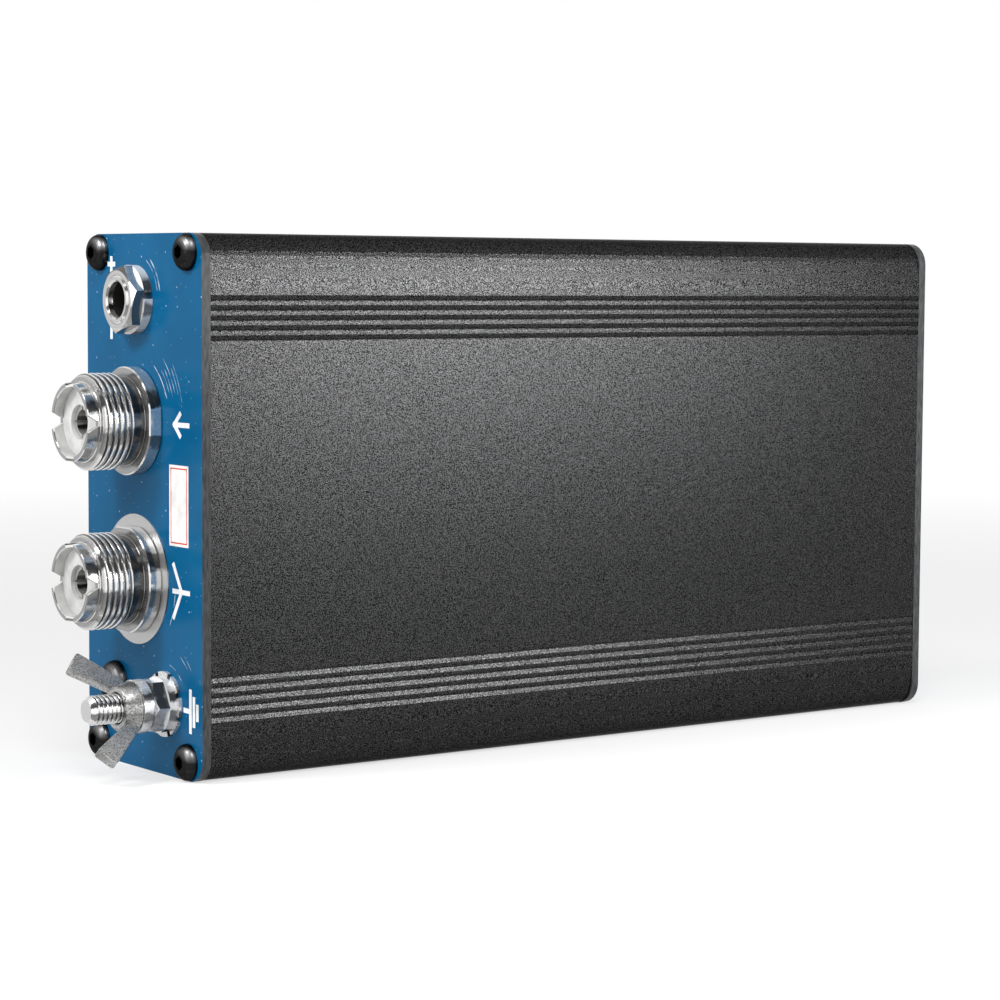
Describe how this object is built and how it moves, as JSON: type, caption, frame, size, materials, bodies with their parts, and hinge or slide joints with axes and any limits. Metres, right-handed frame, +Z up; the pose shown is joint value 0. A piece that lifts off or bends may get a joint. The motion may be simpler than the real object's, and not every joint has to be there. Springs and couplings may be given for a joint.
{
  "type": "automatic antenna tuner",
  "caption": "Split extruded radio antenna tuner case with blue end panels, coaxial sockets, power jack, earth post with wing nut, push buttons and a display window.",
  "frame": {"origin": "centre of the narrow long side that the case stands on", "axes": "+Z up, +X along the case from the connector panel to the control panel, +Y towards the lid's broad face"},
  "size_m": [0.1772, 0.038, 0.088],
  "materials": {
    "case_black": "black anodised, sand blasted",
    "panel_blue": "blue solder mask on glass-fibre laminate",
    "screw_black": "black oxide",
    "nickel": "nickel plated",
    "insulator_white": "white moulded insulator",
    "tinned": "tin plated",
    "zinc_steel": "zinc plated",
    "cast_zinc": "grainy casting, zinc plated",
    "black_plastic": "black moulding",
    "button_black": "satin",
    "window_smoke": "smoked acrylic",
    "display_dark": "dark display glass",
    "board_green": "green solder mask",
    "relay_black": "black moulding",
    "film_brown": "dipped capacitor",
    "copper": "enamelled copper wire",
    "core_red": "coated powder core",
    "core_grey": "ferrite",
    "wire_red": "insulated wire",
    "sleeve_blue": "sleeved can"
  },
  "bodies": {
    "case": {"bottom_shell": "case_black", "top_shell": "case_black", "rear_panel": "panel_blue", "front_panel": "panel_blue", "rear_panel_screws": "screw_black", "front_panel_screws": "screw_black", "stay_screw": "screw_black", "stay_nut": "zinc_steel", "input_socket_shell": "nickel", "input_socket_insulator": "insulator_white", "input_socket_contact": "tinned", "input_socket_nut": "nickel", "input_socket_tag": "tinned", "antenna_socket_shell": "nickel", "antenna_socket_insulator": "insulator_white", "antenna_socket_contact": "tinned", "antenna_socket_nut": "nickel", "antenna_socket_tag": "tinned", "antenna_pad_ring": "tinned", "jack_ferrule": "nickel", "jack_body": "black_plastic", "jack_pin": "tinned", "jack_nut": "nickel", "jack_lock_washer": "zinc_steel", "jack_tags": "tinned", "jack_leads": "wire_red", "earth_post": "zinc_steel", "earth_lug": "tinned", "earth_star_washer": "zinc_steel", "earth_spring_washer": "zinc_steel", "earth_nut": "zinc_steel", "push_switches": "black_plastic", "power_switch": "black_plastic", "control_board": "board_green", "control_header": "black_plastic", "display_window": "window_smoke", "display_glass": "display_dark", "display_board": "board_green", "display_header": "black_plastic", "main_board": "board_green", "relays": "relay_black", "tuning_capacitors": "film_brown", "air_coils": "copper", "powder_cores": "core_red", "powder_windings": "copper", "coupler_cores": "core_grey", "coupler_windings": "copper", "coupler_links": "tinned", "input_lead": "tinned", "antenna_lead": "tinned", "microcontroller": "black_plastic", "regulator": "black_plastic", "electrolytics": "sleeve_blue"},
    "clamp": {"clamp_washer": "zinc_steel"},
    "wing": {"wing_nut": "cast_zinc"},
    "tune": {"tune_button": "button_black"},
    "auto": {"auto_button": "button_black"},
    "bypass": {"bypass_button": "button_black"},
    "power": {"power_button": "button_black"}
  },
  "joints": [
    {"name": "wing_nut_travel", "type": "slide", "parent": "case", "child": "clamp", "axis": [-1, 0, 0], "range_m": [-0.00033, 0.0048]},
    {"name": "wing_nut_turn", "type": "hinge", "parent": "clamp", "child": "wing", "pos_m": [-0.0854, -0.00725, 0.0117], "axis": [-1, 0, 0], "range_deg": [-150, 2160]},
    {"name": "tune_press", "type": "slide", "parent": "case", "child": "tune", "axis": [-1, 0, 0], "range_m": [0, 0.0005], "stiffness_N_per_m": 800},
    {"name": "auto_press", "type": "slide", "parent": "case", "child": "auto", "axis": [-1, 0, 0], "range_m": [0, 0.0005], "stiffness_N_per_m": 800},
    {"name": "bypass_press", "type": "slide", "parent": "case", "child": "bypass", "axis": [-1, 0, 0], "range_m": [0, 0.0005], "stiffness_N_per_m": 800},
    {"name": "power_press", "type": "slide", "parent": "case", "child": "power", "axis": [-1, 0, 0], "range_m": [0, 0.0015], "stiffness_N_per_m": 400}
  ],
  "couplings": [
    {"joint": "wing_nut_turn", "follows": "wing_nut_travel", "rad_per_m": 7854}
  ]
}
